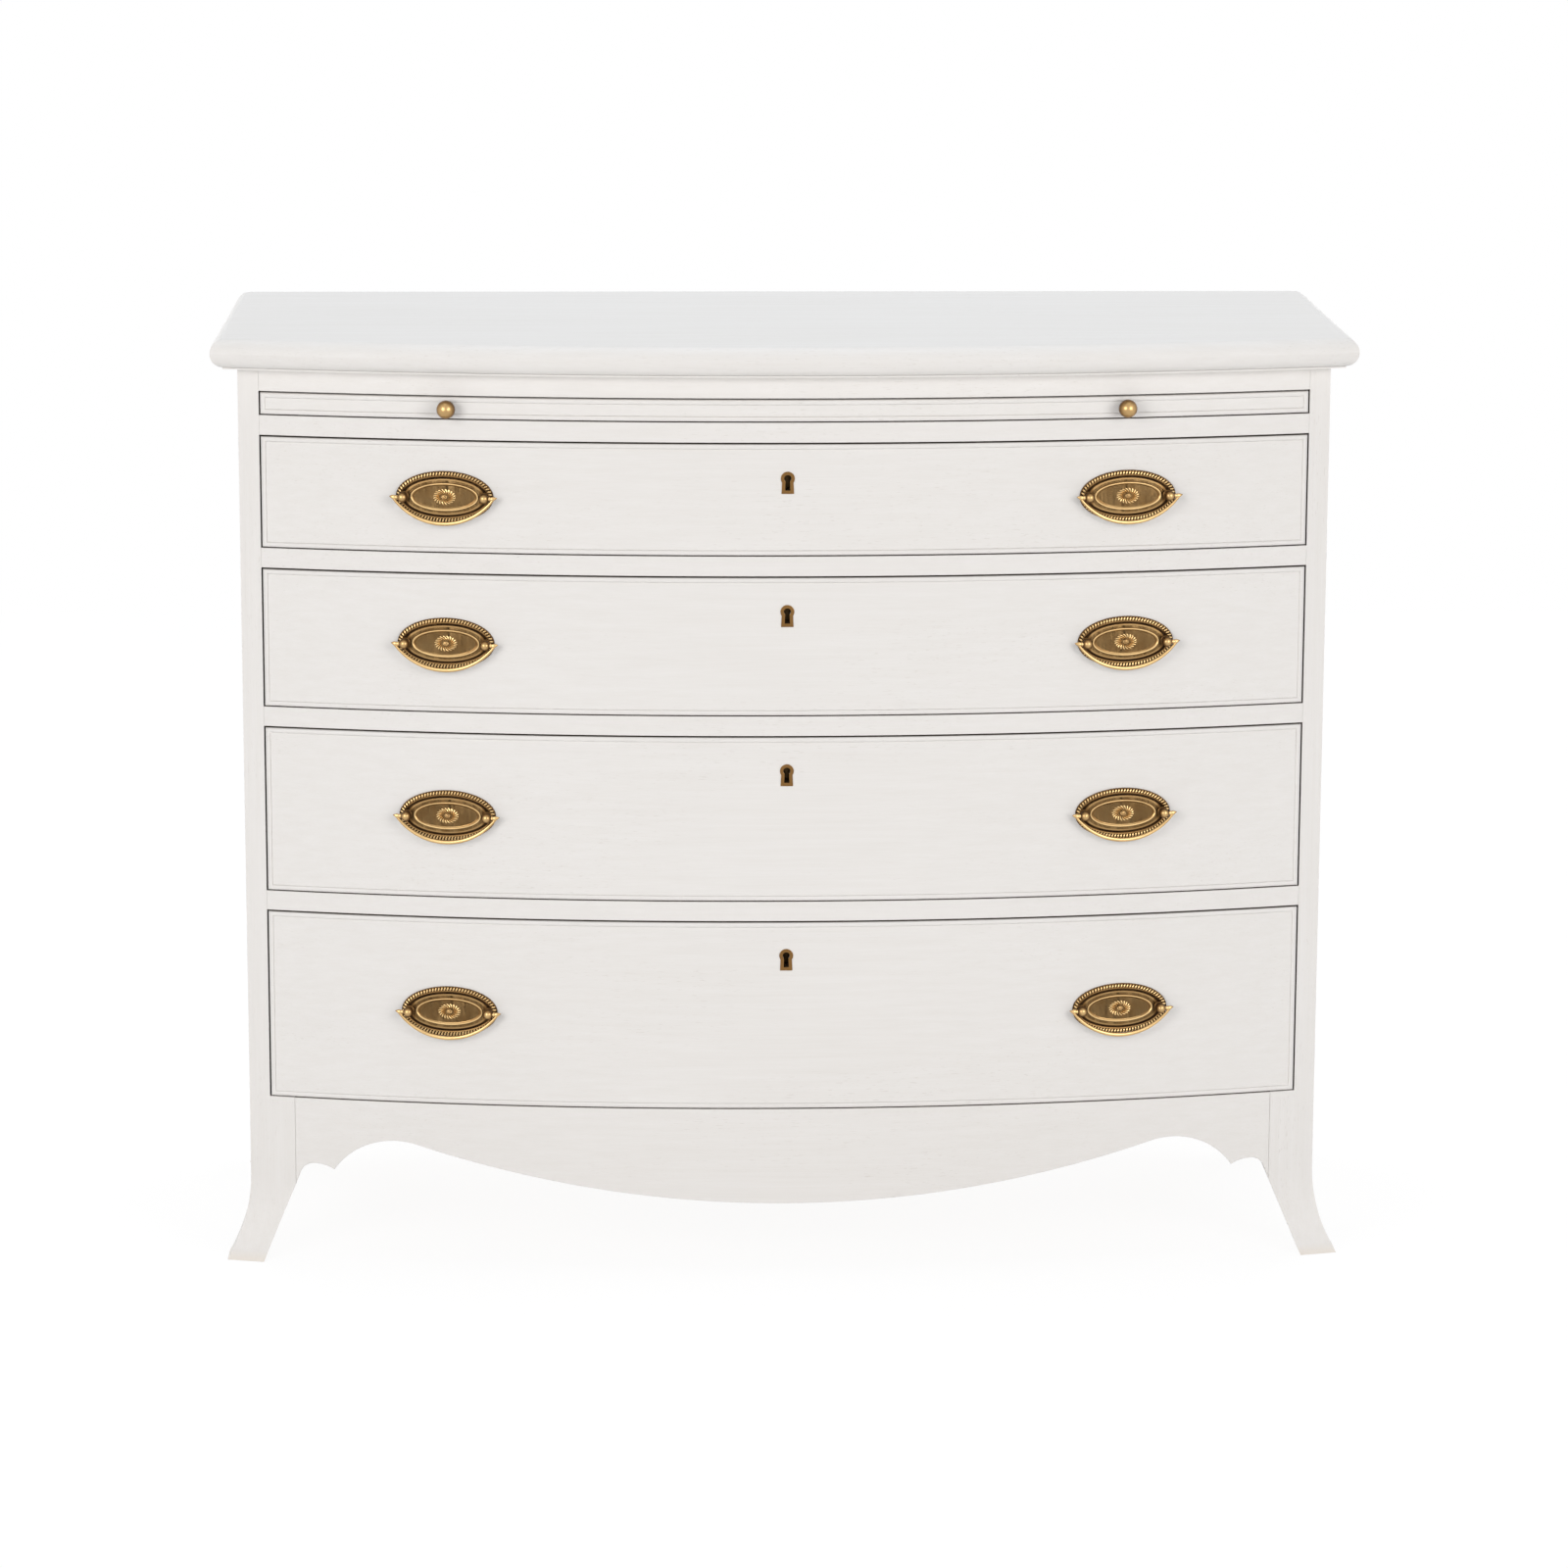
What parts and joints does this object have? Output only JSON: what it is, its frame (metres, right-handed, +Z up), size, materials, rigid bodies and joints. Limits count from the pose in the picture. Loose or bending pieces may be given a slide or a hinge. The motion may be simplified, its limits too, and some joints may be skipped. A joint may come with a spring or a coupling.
{
  "type": "bow front chest of drawers",
  "caption": "White painted bow front chest with graduated cock-beaded drawers, a brushing slide, oval brass bail handles, a shaped apron and splayed bracket feet.",
  "frame": {"origin": "on the floor, in the middle of the box that the chest fills", "axes": "+X to the right of somebody facing the drawers, +Y towards the back, +Z up"},
  "size_m": [1.06, 0.45, 0.878],
  "materials": {
    "white_paint": "satin white paint over wood, faint horizontal grain and brush marks",
    "bare_wood": "bare pale timber, planed and waxed",
    "antique_brass": "antiqued brass, dark in the hollows and rubbed bright on the high places",
    "steel": "plain steel"
  },
  "bodies": {
    "carcase": {"top_board": "white_paint", "top_moulding": "white_paint", "left_side_panel": "white_paint", "right_side_panel": "white_paint", "front_left_leg": "white_paint", "front_right_leg": "white_paint", "back_left_leg": "white_paint", "back_right_leg": "white_paint", "top_rails": "white_paint", "drawer_rails": "white_paint", "front_apron": "white_paint", "bottom_board": "bare_wood", "back_panel": "white_paint", "drawer_runners": "bare_wood", "drawer_stops": "bare_wood", "corner_blocks": "bare_wood", "back_screws": "steel"},
    "brushing_slide": {"slide_board": "white_paint", "slide_front": "white_paint", "slide_knobs": "antique_brass"},
    "drawer_1": {"drawer_1_front": "white_paint", "drawer_1_bead": "white_paint", "drawer_1_box": "bare_wood", "drawer_1_lock": "antique_brass", "drawer_1_escutcheon": "antique_brass", "drawer_1_backplates": "antique_brass", "drawer_1_handle_posts": "antique_brass"},
    "right_bail_1": {"drawer_1_right_bail": "antique_brass"},
    "left_bail_1": {"drawer_1_left_bail": "antique_brass"},
    "bolt_1": {"lock_bolt_1": "steel"},
    "drawer_2": {"drawer_2_front": "white_paint", "drawer_2_bead": "white_paint", "drawer_2_box": "bare_wood", "drawer_2_lock": "antique_brass", "drawer_2_escutcheon": "antique_brass", "drawer_2_backplates": "antique_brass", "drawer_2_handle_posts": "antique_brass"},
    "right_bail_2": {"drawer_2_right_bail": "antique_brass"},
    "left_bail_2": {"drawer_2_left_bail": "antique_brass"},
    "bolt_2": {"lock_bolt_2": "steel"},
    "drawer_3": {"drawer_3_front": "white_paint", "drawer_3_bead": "white_paint", "drawer_3_box": "bare_wood", "drawer_3_lock": "antique_brass", "drawer_3_escutcheon": "antique_brass", "drawer_3_backplates": "antique_brass", "drawer_3_handle_posts": "antique_brass"},
    "right_bail_3": {"drawer_3_right_bail": "antique_brass"},
    "left_bail_3": {"drawer_3_left_bail": "antique_brass"},
    "bolt_3": {"lock_bolt_3": "steel"},
    "drawer_4": {"drawer_4_front": "white_paint", "drawer_4_bead": "white_paint", "drawer_4_box": "bare_wood", "drawer_4_lock": "antique_brass", "drawer_4_escutcheon": "antique_brass", "drawer_4_backplates": "antique_brass", "drawer_4_handle_posts": "antique_brass"},
    "right_bail_4": {"drawer_4_right_bail": "antique_brass"},
    "left_bail_4": {"drawer_4_left_bail": "antique_brass"},
    "bolt_4": {"lock_bolt_4": "steel"}
  },
  "joints": [
    {"name": "brushing_slide_pull", "type": "slide", "parent": "carcase", "child": "brushing_slide", "axis": [0, -1, 0], "range_m": [0, 0.25]},
    {"name": "drawer_1_pull", "type": "slide", "parent": "carcase", "child": "drawer_1", "axis": [0, -1, 0], "range_m": [0, 0.26]},
    {"name": "drawer_1_right_bail_swing", "type": "hinge", "parent": "drawer_1", "child": "right_bail_1", "pos_m": [0.31629, -0.18529, 0.735], "axis": [-0.9884, -0.1522, 0], "range_deg": [-5, 175]},
    {"name": "drawer_1_left_bail_swing", "type": "hinge", "parent": "drawer_1", "child": "left_bail_1", "pos_m": [-0.31629, -0.18529, 0.735], "axis": [-0.9884, 0.1522, 0], "range_deg": [-5, 175]},
    {"name": "drawer_1_bolt_throw", "type": "slide", "parent": "drawer_1", "child": "bolt_1", "axis": [0, 0, 1], "range_m": [0, 0.008]},
    {"name": "drawer_2_pull", "type": "slide", "parent": "carcase", "child": "drawer_2", "axis": [0, -1, 0], "range_m": [0, 0.26]},
    {"name": "drawer_2_right_bail_swing", "type": "hinge", "parent": "drawer_2", "child": "right_bail_2", "pos_m": [0.31629, -0.18529, 0.5981], "axis": [-0.9884, -0.1522, 0], "range_deg": [-5, 175]},
    {"name": "drawer_2_left_bail_swing", "type": "hinge", "parent": "drawer_2", "child": "left_bail_2", "pos_m": [-0.31629, -0.18529, 0.5981], "axis": [-0.9884, 0.1522, 0], "range_deg": [-5, 175]},
    {"name": "drawer_2_bolt_throw", "type": "slide", "parent": "drawer_2", "child": "bolt_2", "axis": [0, 0, 1], "range_m": [0, 0.008]},
    {"name": "drawer_3_pull", "type": "slide", "parent": "carcase", "child": "drawer_3", "axis": [0, -1, 0], "range_m": [0, 0.26]},
    {"name": "drawer_3_right_bail_swing", "type": "hinge", "parent": "drawer_3", "child": "right_bail_3", "pos_m": [0.31629, -0.18529, 0.43525], "axis": [-0.9884, -0.1522, 0], "range_deg": [-5, 175]},
    {"name": "drawer_3_left_bail_swing", "type": "hinge", "parent": "drawer_3", "child": "left_bail_3", "pos_m": [-0.31629, -0.18529, 0.43525], "axis": [-0.9884, 0.1522, 0], "range_deg": [-5, 175]},
    {"name": "drawer_3_bolt_throw", "type": "slide", "parent": "drawer_3", "child": "bolt_3", "axis": [0, 0, 1], "range_m": [0, 0.008]},
    {"name": "drawer_4_pull", "type": "slide", "parent": "carcase", "child": "drawer_4", "axis": [0, -1, 0], "range_m": [0, 0.26]},
    {"name": "drawer_4_right_bail_swing", "type": "hinge", "parent": "drawer_4", "child": "right_bail_4", "pos_m": [0.31629, -0.18529, 0.24745], "axis": [-0.9884, -0.1522, 0], "range_deg": [-5, 175]},
    {"name": "drawer_4_left_bail_swing", "type": "hinge", "parent": "drawer_4", "child": "left_bail_4", "pos_m": [-0.31629, -0.18529, 0.24745], "axis": [-0.9884, 0.1522, 0], "range_deg": [-5, 175]},
    {"name": "drawer_4_bolt_throw", "type": "slide", "parent": "drawer_4", "child": "bolt_4", "axis": [0, 0, 1], "range_m": [0, 0.008]}
  ]
}
